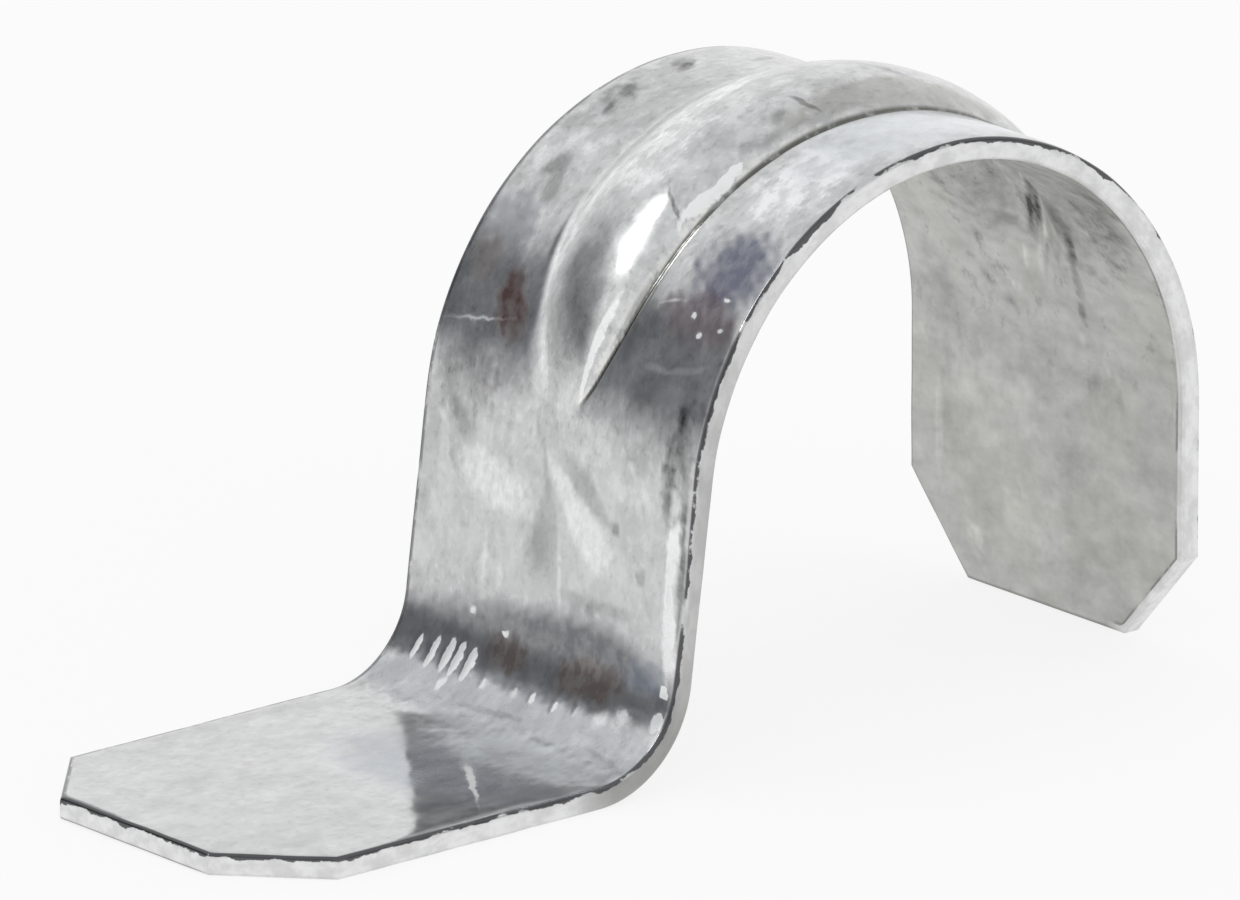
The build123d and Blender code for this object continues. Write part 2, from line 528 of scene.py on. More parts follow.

# Marks of the outside face, in part wear and in part painted light: painted shade and highlights on the
# upright's pressed facets, painted highlights along its front edge, the bead's back root and the wrinkles
# in the fold, and painted glints at the fold's right end.
# Place along and across, half lengths, turn in degrees, taper, softness of the edge, and how much lighter
# or darker.
wear_and_shading_marks = (
    # Painted shade and painted highlights on the pressed facets of the upright.
    (28.1, -1.6, 2.7, 0.72, 49, -0.5, 0.45, 0.16),
    (29.0, -2.2, 1.9, 0.52, 55, 0.7, 0.5, -0.16),
    (30.2, 5.9, 1.0, 0.40, 35, 0.0, 0.6, -0.12),
    (27.0, 0.35, 1.95, 0.75, 0, -0.6, 0.45, -0.15),
    (28.2, 3.5, 2.5, 0.95, 77, 0.0, 0.5, 0.17),
    (29.5, 0.62, 0.9, 0.12, 12, 0.0, 0.6, -0.12),
    (28.0, -3.95, 0.34, 0.18, 57, 0.0, 0.5, -0.25),
    (26.5, -5.7, 0.30, 0.30, 0, 0.0, 0.5, -0.22),
    (24.4, -2.9, 0.22, 0.30, 0, 0.0, 0.6, -0.18),
    (25.0, 3.7, 0.9, 0.15, 0, 0.0, 0.9, 0.12),
    (24.6, 2.75, 1.0, 0.12, 0, 0.0, 0.9, 0.10),
    (25.2, -0.9, 1.6, 0.10, 8, 0.0, 0.9, 0.10),
    (22.75, 4.1, 0.22, 0.24, 30, 0.0, 0.8, 0.46),
    (22.3, 2.0, 0.18, 0.18, 0, 0.0, 0.5, 0.60),
    (41.6, 6.3, 0.85, 0.45, -35, 0.3, 0.4, -0.20),
    (40.6, 5.7, 0.90, 0.40, 15, -0.3, 0.4, -0.18),
    (47.6, -5.2, 0.28, 0.24, 0, 0.0, 0.6, -0.20),
    (45.9, -4.9, 0.28, 0.20, 0, 0.0, 0.6, -0.18),
    # Painted highlight along the bead's back root.
    (39.0, 2.85, 3.9, 0.50, 0, 0.0, 0.9, 0.22),
    (34.2, 1.85, 1.9, 0.32, 27, 0.0, 0.9, 0.16),
    (35.3, 0.35, 2.1, 1.2, 5, 0.0, 0.6, -0.16),
    (40.8, -2.35, 0.40, 0.15, 10, 0.0, 0.5, 0.45),
    (44.9, -2.2, 0.55, 0.22, 10, 0.0, 0.8, -0.20),
    (45.9, -2.5, 0.60, 0.24, -10, 0.0, 0.8, -0.18),
    (46.9, -1.9, 0.35, 0.20, 20, 0.0, 0.8, -0.16),
    (32.5, -7.3, 1.3, 0.40, 17, 0.0, 0.9, -0.10),
    # Painted highlights along the upright's front edge, and painted shade beside them.
    (28.5, -7.42, 2.5, 0.36, 2, 0.0, 0.5, 0.36),
    (24.3, -7.74, 2.2, 0.34, 8, 0.0, 0.5, 0.34),
    (30.2, -7.2, 1.8, 0.50, 2, 0.0, 0.9, -0.16),
    (27.0, -8.05, 3.2, 0.14, 2, 0.0, 0.6, -0.32),
    (49.08, 6.51, 0.55, 0.24, 20, 0.0, 0.6, -0.30),
    (46.35, 6.92, 0.55, 0.30, 20, 0.0, 0.6, -0.25),
    (45.1, 6.73, 0.50, 0.20, 20, 0.0, 0.6, -0.22),
    (53.4, -1.0, 0.9, 0.24, -50, 0.0, 0.8, -0.18),
    # Painted highlights on the wrinkles in the fold, and painted glints at its right end.
    (20.14, 2.12, 0.28, 0.18, 0, 0.0, 0.5, 0.45),
    (20.25, 0.28, 0.22, 0.22, 0, 0.0, 0.5, 0.32),
    (20.27, -0.80, 0.28, 0.14, 0, 0.0, 0.5, 0.48),
    (20.23, -2.20, 0.24, 0.15, 0, 0.0, 0.5, 0.48),
    (20.50, -3.40, 0.30, 0.12, 0, 0.0, 0.5, 0.32),
    (20.75, -6.00, 0.45, 0.50, 0, 0.0, 0.9, 0.50),
    (20.45, -4.90, 0.36, 0.40, 0, 0.0, 0.9, 0.30),
    (21.05, -7.85, 0.42, 0.26, 0, 0.0, 0.4, 0.80),
    (22.28, -7.77, 0.28, 0.20, 0, 0.0, 0.4, 0.80),
    (18.43, 1.50, 0.14, 0.40, 0, 0.0, 0.8, -0.16),
    (18.55, -2.7, 1.5, 0.13, 85, 0.0, 0.8, -0.20),
    (18.8, -6.5, 1.1, 0.13, 80, 0.0, 0.8, -0.20),
    (19.2, -4.7, 0.30, 0.45, 0, 0.0, 0.9, 0.14),
    (17.6, -4.0, 0.35, 2.6, 0, 0.0, 1.0, 0.10),
)

# Marks of the inside face, in the same order: painted shade and painted highlights along the creases where
# the bead's hollow ends, and a few dark blotches.
inside_marks = (
    (63.5, -0.75, 2.0, 0.45, 22, 0.4, 0.6, -0.18),
    (64.5, -0.15, 0.9, 0.16, 20, 0.0, 0.8, -0.22),
    (64.3, -0.70, 0.9, 0.17, 20, 0.0, 0.8, -0.20),
    (62.3, -0.75, 1.3, 0.15, 22, 0.0, 0.7, 0.20),
    (64.9, -0.95, 1.3, 0.16, 18, 0.0, 0.7, 0.18),
    (66.6, -0.6, 0.9, 0.14, 14, 0.0, 0.8, -0.12),
    (66.4, -0.2, 0.8, 0.14, 14, 0.0, 0.8, 0.12),
    (63.6, -3.0, 1.2, 0.70, 14, 0.0, 1.0, -0.17),
    (65.5, -2.85, 1.15, 0.24, 16, 0.0, 0.9, -0.22),
    (67.2, -2.62, 0.8, 0.22, 0, 0.0, 0.9, -0.17),
    (68.67, -2.52, 0.40, 0.22, 0, 0.0, 0.8, -0.22),
    (66.86, 0.74, 0.5, 0.14, 0, 0.0, 0.8, 0.16),
    (68.6, 3.15, 0.5, 0.20, -58, 0.0, 0.9, -0.18),
    (68.41, 1.56, 0.5, 0.22, -58, 0.0, 0.9, 0.13),
    (69.34, 1.92, 0.40, 0.20, -58, 0.0, 0.9, -0.13),
    (69.98, -2.3, 0.22, 0.30, 0, 0.0, 1.0, 0.12),
    (62.67, 1.20, 0.55, 0.40, 0, 0.0, 0.9, -0.14),
    (66.39, 3.29, 0.35, 0.30, 0, 0.0, 0.9, -0.14),
    (63.48, 4.36, 0.5, 0.35, 0, 0.0, 0.9, -0.12),
)

# The outlines of the marks wander along and across.
wander_along = 0.06
wander_across = 0.05
wander_lengths = (1.6, 0.35)
least_taper = 0.05


def marked_tone(table, s, v, seed):
    """The change of tone that a table of marks makes, with wandering outlines."""
    wander_s = s + wander_along * waves(s, v, wave_count, *wander_lengths, seed)
    wander_v = v + wander_across * waves(s, v, wave_count, *wander_lengths, seed + 1)
    total = np.zeros_like(s)
    for at_s, at_v, long_s, long_v, turn, taper, soft, change in table:
        angle = math.radians(turn)
        off_s = wander_s - at_s
        off_v = wander_v - at_v
        along = (off_s * math.cos(angle) + off_v * math.sin(angle)) / long_s
        across_mark = (off_v * math.cos(angle) - off_s * math.sin(angle)) / long_v
        across_mark = across_mark / np.clip(1 + taper * along, least_taper, None)
        size = along ** 2 + across_mark ** 2
        total += change * np.clip(0.5 + (1 - size) / (2 * soft), 0, 1)
    return total


# How strongly the painted shade along the outside rim of the cut edge darkens it, along the strap.
rim_along = (0.0, 16.0, 19.0, 22.0, 30.0, 36.0, 42.0, 46.0, 52.0, 58.0, 64.0, strap_end)
rim_share = (0.95, 0.85, 0.85, 0.75, 0.55, 0.55, 0.85, 0.35, 0.95, 0.65, 0.45, 0.45)
rim_out = np.interp(grid_s, rim_along, rim_share)
front_gap = bead_across(grid_s, grid_v) + bead_half(grid_s)
marks_out_seed = 71
marks_in_seed = 81
marks_out = marked_tone(wear_and_shading_marks, grid_s, grid_v, marks_out_seed)
marks_in = marked_tone(inside_marks, grid_s, grid_v, marks_in_seed)
crease_out = np.stack([front_gap, marks_out, edge_gap], axis=-1)

# The inside face has no crease along a bead's root, so it lies far from one.
far_off = 99.0
crease_in = np.stack([np.full_like(grid_s, far_off), marks_in, edge_gap], axis=-1)

# The bead is duller towards its low end, and the foot is smoother than the rest.
dull_patch = (37.8, 0.9, 4.0, 1.8, 0, 0.3)
dull_strength = 0.16
dull_seed = 400
smooth_strength = 0.07
smooth_end = 16.0
smooth_fade = 3.0
dull_out = dull_strength * stroke(grid_s, grid_v, *dull_patch, dull_seed, patch_soft)
dull_out -= smooth_strength * np.clip((smooth_end - grid_s) / smooth_fade, 0, 1)
paint_out = np.stack([tone_out, rim_out, dull_out], axis=-1)
paint_in = np.stack([tone_in, rim_out, np.zeros_like(grid_s)], axis=-1)
crease_place = np.concatenate([crease_out, crease_in[:, ::-1]], axis=1).reshape(-1, 3)
paint = np.concatenate([paint_out, paint_in[:, ::-1]], axis=1).reshape(-1, 3)
stain_and_shade_paint = np.concatenate([stain_and_shade_out, np.zeros_like(stain_and_shade_out)], axis=1).reshape(-1, 4)

index = np.arange(row_count * ring_count).reshape(row_count, ring_count)
following = np.roll(index, -1, axis=1)
quads = np.stack([index[:-1], following[:-1], following[1:], index[1:]], axis=-1).reshape(-1, 4)
caps = []
for row, flip in ((0, True), (row_count - 1, False)):
    top = index[row, :half_count]
    bottom = index[row, half_count:][::-1]
    cap = np.stack([top[:-1], top[1:], bottom[1:], bottom[:-1]], axis=-1)
    caps.append(cap[:, ::-1] if flip else cap)
quads = np.concatenate([quads] + caps)

mesh = bpy.data.meshes.new("strap_sheet")
mesh.from_pydata(vertices.tolist(), [], quads.tolist())
mesh.polygons.foreach_set("use_smooth", np.ones(len(mesh.polygons), dtype=bool))
for name, kind, channel, values in (
    ("sheet_place", "FLOAT_VECTOR", "vector", sheet_place),
    ("crease_place", "FLOAT_VECTOR", "vector", crease_place),
    ("paint", "FLOAT_VECTOR", "vector", paint),
    ("stain_and_shade", "FLOAT_COLOR", "color", stain_and_shade_paint),
):
    layer = mesh.attributes.new(name, kind, "POINT")
    layer.data.foreach_set(channel, values.astype(np.float32).ravel())
mesh.update()
strap = bpy.data.objects.new("strap_sheet", mesh)
bpy.context.scene.collection.objects.link(strap)


class Graph:
    """The nodes of one material or world, made from sums on values."""

    def __init__(self, tree):
        self.nodes = tree.nodes
        self.links = tree.links

    def plug(self, value, socket):
        """Set a number or colour on a socket, or link another node to it."""
        if isinstance(value, bpy.types.NodeSocket):
            self.links.new(value, socket)
        else:
            socket.default_value = value

    def calc(self, operation, first, second=0.0, third=0.0):
        """A sum on one or more values."""
        node = self.nodes.new("ShaderNodeMath")
        node.operation = operation
        self.plug(first, node.inputs[0])
        self.plug(second, node.inputs[1])
        self.plug(third, node.inputs[2])
        return node.outputs[0]

    def product(self, first, *others):
        """The product of two or more values."""
        for other in others:
            first = self.calc("MULTIPLY", first, other)
        return first

    def vector(self, operation, *values):
        """A sum on one or more vectors."""
        node = self.nodes.new("ShaderNodeVectorMath")
        node.operation = operation
        for value, socket in zip(values, node.inputs):
            self.plug(value, socket)
        return node.outputs["Value" if operation == "DOT_PRODUCT" else "Vector"]

    def span(self, value, low, high, to_low=0.0, to_high=1.0):
        """A value eased from one range to another."""
        node = self.nodes.new("ShaderNodeMapRange")
        node.interpolation_type = "SMOOTHSTEP"
        self.plug(value, node.inputs["Value"])
        node.inputs["From Min"].default_value = low
        node.inputs["From Max"].default_value = high
        node.inputs["To Min"].default_value = to_low
        node.inputs["To Max"].default_value = to_high
        return node.outputs["Result"]

    def blend(self, share, first, second):
        """One colour over another."""
        node = self.nodes.new("ShaderNodeMix")
        node.data_type = "RGBA"
        self.plug(share, node.inputs["Factor"])
        self.plug(first, node.inputs["A"])
        self.plug(second, node.inputs["B"])
        return node.outputs["Result"]


# Zinc coating, painted in places on the sheet: along the strap, across it and through its thickness.
zinc = bpy.data.materials.new("zinc_sheet")
zinc.use_nodes = True
zinc_graph = Graph(zinc.node_tree)
nodes = zinc_graph.nodes
links = zinc_graph.links
calc = zinc_graph.calc
product = zinc_graph.product
vector = zinc_graph.vector
span = zinc_graph.span
blend = zinc_graph.blend
surface = nodes["Principled BSDF"]

# Scale of the noises through the thickness, against their scale along the strap.
depth_scale = 1.5
noise_middle = 0.5


def grain(along, across, detail, rough, offset):
    """Cloudy noise on the sheet, about 0.5 on average, scaled along and across it."""
    mapping = nodes.new("ShaderNodeMapping")
    links.new(place_on_sheet, mapping.inputs["Vector"])
    mapping.inputs["Scale"].default_value = (along, across, depth_scale * along)
    mapping.inputs["Location"].default_value = (offset, -offset, 0)
    node = nodes.new("ShaderNodeTexNoise")
    links.new(mapping.outputs["Vector"], node.inputs["Vector"])
    node.inputs["Scale"].default_value = 1.0
    node.inputs["Detail"].default_value = detail
    node.inputs["Roughness"].default_value = rough
    return node.outputs["Fac"]


def stored(name):
    """A value kept on the mesh."""
    node = nodes.new("ShaderNodeAttribute")
    node.attribute_name = name
    return node


def parted(value):
    """The three numbers of a vector."""
    node = nodes.new("ShaderNodeSeparateXYZ")
    links.new(value, node.inputs[0])
    return node.outputs["X"], node.outputs["Y"], node.outputs["Z"]


def shift(value, noise, amount):
    """A value moved up and down by a noise."""
    return calc("ADD", value, calc("MULTIPLY", calc("SUBTRACT", noise, noise_middle), amount))


def tinted(grey, green, blue):
    """A colour from a grey, with its green and blue as shares of it."""
    node = nodes.new("ShaderNodeCombineColor")
    links.new(grey, node.inputs["Red"])
    links.new(calc("MULTIPLY", grey, green), node.inputs["Green"])
    links.new(calc("MULTIPLY", grey, blue), node.inputs["Blue"])
    return node.outputs["Color"]


place_on_sheet = stored("sheet_place").outputs["Vector"]
place_along, place_across, place_deep = parted(place_on_sheet)
front_crease, mark_paint, edge_distance = parted(stored("crease_place").outputs["Vector"])
tone_paint, rim_paint, dull_paint = parted(stored("paint").outputs["Vector"])
stain_and_shade_node = stored("stain_and_shade")
stain_and_shade_colour = stain_and_shade_node.outputs["Color"]
stain_and_shade_alpha = stain_and_shade_node.outputs["Alpha"]

# The two faces, by depth in the sheet. Each range below says where a value starts and ends,
# and then what it gives there, where that isn't 0 and 1.
outside_depths = (0.16, 0.04)
inside_depths = (0.84, 0.96)
outer_face = span(place_deep, *outside_depths)
inner_face = span(place_deep, *inside_depths)

# Noises of the coating: scale along and across, detail, roughness, offset.
cloud = grain(0.20, 0.25, 2.0, 0.5, 3.1)
mottle = grain(0.55, 0.70, 4.0, 0.55, 11.3)
flecks = grain(2.2, 2.8, 3.0, 0.55, 27.0)
patches = grain(1.0, 1.25, 4.0, 0.62, 19.0)
inner_cloud = grain(1.0, 0.60, 3.0, 0.62, 91.0)
rim_noise = grain(0.55, 0.8, 4.0, 0.65, 77.0)
swell = grain(0.7, 0.9, 1.0, 0.5, 41.0)

# The grain of the coating, calmer on the foot and in the middle of the upright.
foot_calm = (15.0, 18.0, 0.4, 0.66)
upright_calm_below = (25.0, 22.5, 0.65, 1.0)
upright_calm_above = (29.5, 32.0, 0.65, 1.0)
below_calm = span(place_along, *upright_calm_below)
above_calm = span(place_along, *upright_calm_above)
calm = product(span(place_along, *foot_calm), calc("MAXIMUM", below_calm, above_calm))

# Each layer of the grain: a noise or a step of it, and how far it moves the tone.
grain_layers = (
    (mottle, 0.28),
    (span(mottle, 0.45, 0.55), 0.06),
    (span(patches, 0.44, 0.56), 0.11),
    (flecks, 0.18),
    (span(flecks, 0.36, 0.42), 0.10),
    (span(flecks, 0.58, 0.64), 0.08),
)
grain_shift = 0.0
for layer_noise, layer_amount in grain_layers:
    grain_shift = shift(grain_shift, layer_noise, layer_amount)
zinc_tone = 0.60
cloud_amount = 0.20
tone_breakup = (0.40, 0.60, 0.60, 1.35)
tone = calc("MULTIPLY_ADD", grain_shift, calm, shift(zinc_tone, cloud, cloud_amount))
tone_change = product(tone_paint, span(patches, *tone_breakup))
tone = calc("ADD", tone, tone_change)

# Thin marks of the outside face, in the same order as the marks above: most are painted highlights and
# glints, the others scratches.
crisp_marks = (
    (34.44, 5.94, 2.0, 0.10, -78, 0.0, 0.9, 0.36),
    # Painted highlight along the bead's tip.
    (34.7, -1.25, 2.2, 0.15, -9, 0.4, 0.6, 0.42),
    (41.1, -1.8, 0.85, 0.07, 53, 0.0, 0.6, -0.28),
    # Painted glints beside the bead's front crease.
    (43.1, -2.66, 1.00, 0.20, 4, 0.0, 0.4, 0.80),
    (41.8, -2.50, 0.75, 0.24, -4, 0.0, 0.4, 0.80),
    # Painted glints on the right land, then light scratches.
    (37.33, -5.54, 0.16, 0.16, 0, 0.0, 0.8, 0.55),
    (36.67, -6.30, 0.14, 0.20, 0, 0.0, 0.8, 0.50),
    (37.09, -7.30, 0.14, 0.16, 0, 0.0, 0.8, 0.45),
    (38.38, -6.85, 0.13, 0.24, 0, 0.0, 0.8, 0.45),
    (37.63, -4.1, 0.62, 0.08, -71, 0.0, 0.9, 0.35),
    (34.85, -4.75, 0.16, 0.65, 0, 0.0, 1.0, 0.32),
    (35.15, -6.4, 0.95, 0.15, -72, 0.0, 1.0, 0.32),
    (48.2, -1.95, 0.62, 0.12, -75, 0.0, 0.6, -0.34),
    # Painted highlights on the wrinkles in the fold.
    (20.65, 6.63, 0.56, 0.17, 0, 0.0, 0.4, 0.66),
    (20.66, 5.64, 0.68, 0.20, 0, 0.0, 0.4, 0.74),
    (20.73, 4.77, 0.74, 0.24, 0, 0.0, 0.4, 0.80),
    (20.75, 4.14, 0.80, 0.22, 0, 0.0, 0.4, 0.80),
    (20.67, 3.38, 0.72, 0.23, 0, 0.0, 0.4, 0.80),
    (19.50, 4.20, 0.34, 0.20, 0, 0.0, 0.5, 0.40),
    # Painted highlight along the low ridge on the foot.
    (13.6, -4.6, 3.0, 0.20, 55, 0.7, 0.8, 0.50),
)

# The noises pull the outlines of the thin marks this far along and across.
pull_along = 0.5
pull_across = 0.32
pull = nodes.new("ShaderNodeCombineXYZ")
links.new(calc("MULTIPLY_ADD", patches, pull_along, -pull_along / 2), pull.inputs["X"])
links.new(calc("MULTIPLY_ADD", flecks, pull_across, -pull_across / 2), pull.inputs["Y"])
pulled_place = vector("ADD", place_on_sheet, pull.outputs["Vector"])


def mark(at_s, at_v, long_s, long_v, turn, taper, soft):
    """Share of a thin mark on the sheet, 1 within its outline."""
    if turn or taper:
        offset = vector("SUBTRACT", pulled_place, (at_s, at_v, 0))
        angle = math.radians(turn)
        along = vector("DOT_PRODUCT", offset, (math.cos(angle) / long_s, math.sin(angle) / long_s, 0))
        across = vector("DOT_PRODUCT", offset, (-math.sin(angle) / long_v, math.cos(angle) / long_v, 0))
        if taper:
            narrowing = calc("MAXIMUM", calc("MULTIPLY_ADD", along, taper, 1.0), least_taper)
            across = calc("DIVIDE", across, narrowing)
        size = calc("MULTIPLY_ADD", across, across, calc("MULTIPLY", along, along))
    else:
        scale = (1 / long_s, 1 / long_v, 0)
        offset = vector("MULTIPLY_ADD", pulled_place, scale, (-at_s / long_s, -at_v / long_v, 0))
        size = vector("DOT_PRODUCT", offset, offset)
    share = calc("MULTIPLY_ADD", size, -0.5 / soft, 0.5 / soft + 0.5)
    share.node.use_clamp = True
    return share


def marks_on(table):
    """The change of tone that a table of thin marks makes."""
    total = 0.0
    for *outline_of_mark, change in table:
        total = calc("MULTIPLY_ADD", mark(*outline_of_mark), change, total)
    return total


mark_breakup = (0.36, 0.62, 0.86, 1.12)
darkest = 0.06
palest = 0.95
zinc_green = 1.005
zinc_blue = 1.01
mark_change = product(mark_paint, span(flecks, *mark_breakup))
mark_tone = product(calc("ADD", marks_on(crisp_marks), mark_change), outer_face)
tone = calc("ADD", tone, mark_tone)
tone = calc("MINIMUM", calc("MAXIMUM", tone, darkest), palest)
colour = tinted(tone, zinc_green, zinc_blue)

# Stains and painted shade keep their own colour and share of the surface, and bright marks, painted glints
# among them, lie on top of them.
stain_and_shade_breakup = (0.38, 0.6, 0.78, 1.04)
bright_changes = (0.22, 0.50)
least_share = 0.02
bright_mark = span(mark_tone, *bright_changes)
stain_and_shade_share = product(stain_and_shade_alpha, span(patches, *stain_and_shade_breakup), calc("SUBTRACT", 1.0, bright_mark))
stain_and_shade_scale = nodes.new("ShaderNodeVectorMath")
stain_and_shade_scale.operation = "SCALE"
links.new(stain_and_shade_colour, stain_and_shade_scale.inputs[0])
links.new(calc("DIVIDE", 1.0, calc("MAXIMUM", stain_and_shade_alpha, least_share)), stain_and_shade_scale.inputs["Scale"])
colour = blend(stain_and_shade_share, colour, stain_and_shade_scale.outputs["Vector"])

# Painted shade in the bead's front crease, wider towards the crown, and beside it a pale line of painted
# highlight.
crease_widening = (40.0, 50.0, 1.0, 1.6)
crease_front_edge = (-0.20, -0.08)
crease_back_edge = (0.16, 0.03)
crease_breakup = (0.34, 0.5, 0.55, 1.0)
crease_foot_end = (32.0, 33.0)
crease_leg_end = (67.0, 64.0)
crease_strength = 0.88
crease_colour = (0.075, 0.072, 0.055, 1)
pale_near_edge = (0.06, 0.16)
pale_far_edge = (0.55, 0.25)
pale_breakup = (0.38, 0.54)
pale_end = (52.0, 46.0)
pale_strength = 0.6
pale_colour = (0.85, 0.86, 0.82, 1)
crease_reach = product(span(place_along, *crease_foot_end), span(place_along, *crease_leg_end))
crease_off = calc("DIVIDE", front_crease, span(place_along, *crease_widening))
crease_line = product(span(crease_off, *crease_front_edge), span(crease_off, *crease_back_edge))
crease_line = product(crease_line, span(patches, *crease_breakup), crease_reach, outer_face)
pale_patches = product(span(patches, *pale_breakup), span(place_along, *pale_end))
pale_line = product(span(front_crease, *pale_near_edge), span(front_crease, *pale_far_edge))
pale_line = product(pale_line, pale_patches, crease_reach, outer_face)
colour = blend(product(pale_line, pale_strength), colour, pale_colour)
colour = blend(product(crease_line, crease_strength), colour, crease_colour)

# The inside face is duller and a little warmer, with dark flecks that thin out down the free leg.
fleck_patches = (0.42, 0.34)
fleck_reach = (76.0, 66.0, 0.02, 0.10)
inner_zinc_tone = 0.54
inner_cloud_amount = 0.40
inner_mottle_amount = 0.14
inner_blues = (0.35, 0.65, 0.945, 0.985)
inner_fleck = product(span(patches, *fleck_patches), span(place_along, *fleck_reach))
inner_grey = shift(shift(inner_zinc_tone, inner_cloud, inner_cloud_amount), mottle, inner_mottle_amount)
inner_grey = calc("SUBTRACT", inner_grey, inner_fleck)
inner_grey = calc("ADD", inner_grey, calc("ADD", tone_change, mark_change))
inner_grey = calc("MAXIMUM", inner_grey, darkest)
colour = blend(inner_face, colour, tinted(inner_grey, zinc_green, span(cloud, *inner_blues)))

# Cut edges: pale metal, with painted shade at the fold and on the upright.
rim_patches = (0.35, 0.65)
rim_dull = (0.70, 0.705, 0.70, 1)
rim_bright = (0.85, 0.855, 0.85, 1)
rim_shade_foot = (15.0, 18.0)
rim_shade_fold = (20.5, 24.0, 0.80, 0.42)
rim_shade_arch = (30.0, 44.0, 1.0, 0.0)
rim_shade_colour = (0.30, 0.30, 0.29, 1)
rim = calc("SUBTRACT", calc("SUBTRACT", 1.0, outer_face), inner_face)
rim_tone = blend(span(patches, *rim_patches), rim_dull, rim_bright)
rim_shade = product(span(place_along, *rim_shade_foot), span(place_along, *rim_shade_fold))
rim_shade = product(rim_shade, span(place_along, *rim_shade_arch))
rim_tone = blend(rim_shade, rim_tone, rim_shade_colour)
colour = blend(rim, colour, rim_tone)

# Painted shade: a dark ragged line along the outside rim, the shadow of the burr.
rim_paint_share = 0.35
rim_line_start = 0.62
rim_line_depth = 0.9
rim_line_edge = (-0.02, 0.04)
rim_line_width = (0.22, 0.12)
rim_line_strength = 0.92
rim_line_colour = (0.065, 0.065, 0.07, 1)
rim_reach = calc("ADD", rim_noise, product(rim_paint, rim_paint_share))
rim_reach = product(calc("SUBTRACT", rim_reach, rim_line_start), rim_line_depth)
rim_line = span(calc("SUBTRACT", rim_reach, place_deep), *rim_line_edge)
rim_line = product(rim_line, span(edge_distance, *rim_line_width))
colour = blend(product(rim_line, rim_line_strength), colour, rim_line_colour)

# Painted shade: a thin broken line on the outside face, beside the rounded back edge.
back_line_far = (0.36, 0.24)
back_line_near = (0.08, 0.16)
back_side = (0.5, 1.5)
back_line_breakup = (0.38, 0.52)
back_line_strength = 0.7
back_line_colour = (0.10, 0.105, 0.11, 1)
back_line = product(span(edge_distance, *back_line_far), span(edge_distance, *back_line_near))
back_line = product(back_line, span(place_across, *back_side))
back_line = product(back_line, product(outer_face, span(patches, *back_line_breakup)))
colour = blend(product(back_line, back_line_strength), colour, back_line_colour)

# Inside, the front edge has a pale border with a painted shadow line, unbroken up on the arch, and the
# other edges a dark outline.
inner_front_side = (-3.6, -5.0)
inner_border = (0.36, 0.30)
inner_line_far = (0.50, 0.40)
inner_line_near = (0.28, 0.34)
inner_line_breakup = (0.40, 0.54)
inner_line_arch = (69.0, 66.0, 0.0, 0.8)
inner_outline = (0.22, 0.08)
inner_line_strength = 0.6
inner_line_colour = (0.15, 0.15, 0.14, 1)
inner_front = product(inner_face, span(place_across, *inner_front_side))
colour = blend(product(inner_front, span(edge_distance, *inner_border)), colour, rim_tone)
inner_dark = calc("MAXIMUM", span(rim_noise, *inner_line_breakup), span(place_along, *inner_line_arch))
inner_line = product(span(edge_distance, *inner_line_far), span(edge_distance, *inner_line_near))
inner_line = product(inner_line, product(inner_front, inner_dark))
inner_edge = product(span(edge_distance, *inner_outline), calc("SUBTRACT", inner_face, inner_front))
inner_line = calc("MAXIMUM", inner_line, inner_edge)
colour = blend(product(inner_line, inner_line_strength), colour, inner_line_colour)
links.new(colour, surface.inputs["Base Color"])

# Bright marks, painted glints among them, and stains and painted shade are less metallic. The inside face
# and the cut edges are rougher.
stain_and_shade_matt = 0.85
metal_share = 0.92
matt_loss = 0.7
zinc_roughness = 0.18
mottle_roughness = 0.25
inner_roughness = 0.28
rim_roughness = 0.25
matt_share = calc("MAXIMUM", bright_mark, product(stain_and_shade_share, stain_and_shade_matt))
links.new(calc("MULTIPLY_ADD", matt_share, -matt_loss, metal_share), surface.inputs["Metallic"])
polish = calc("ADD", shift(zinc_roughness, mottle, mottle_roughness), dull_paint)
polish = calc("ADD", polish, product(inner_face, inner_roughness))
polish = calc("ADD", polish, product(rim, rim_roughness))
links.new(polish, surface.inputs["Roughness"])

# The coating swells a little, too little for the mesh.
swell_strength = 0.35
swell_height = 0.03 * MILLIMETRE
bump = nodes.new("ShaderNodeBump")
bump.inputs["Strength"].default_value = swell_strength
bump.inputs["Distance"].default_value = swell_height
links.new(swell, bump.inputs["Height"])
links.new(bump.outputs["Normal"], surface.inputs["Normal"])
strap.data.materials.append(zinc)

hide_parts("strap")
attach(strap, "root")

# Floor at the wall plane.
floor_level = -axis_height * MILLIMETRE
floor_size = 4.0
bpy.ops.mesh.primitive_plane_add(size=floor_size, location=(0, 0, floor_level))
floor = bpy.context.active_object
floor.name = "floor"
paper = bpy.data.materials.new("paper")
paper.use_nodes = True
paper_graph = Graph(paper.node_tree)
paper_nodes = paper_graph.nodes
paper_links = paper_graph.links
paper_surface = paper_nodes["Principled BSDF"]
paper_surface.inputs["Base Color"].default_value = (0.98, 0.98, 0.98, 1)
paper_surface.inputs["Roughness"].default_value = 0.9
paper_surface.inputs["Specular IOR Level"].default_value = 0.0
paper_white = paper_nodes.new("ShaderNodeEmission")
paper_white.inputs["Strength"].default_value = 1.0
paper_seen = paper_nodes.new("ShaderNodeLightPath")
white_share = 0.82
seen_share = 0.0
for ray in ("Is Camera Ray", "Is Glossy Ray", "Is Transmission Ray"):
    seen_share = paper_graph.calc("MULTIPLY_ADD", paper_seen.outputs[ray], white_share, seen_share)
paper_mix = paper_nodes.new("ShaderNodeMixShader")
paper_links.new(seen_share, paper_mix.inputs["Fac"])
paper_links.new(paper_surface.outputs["BSDF"], paper_mix.inputs[1])
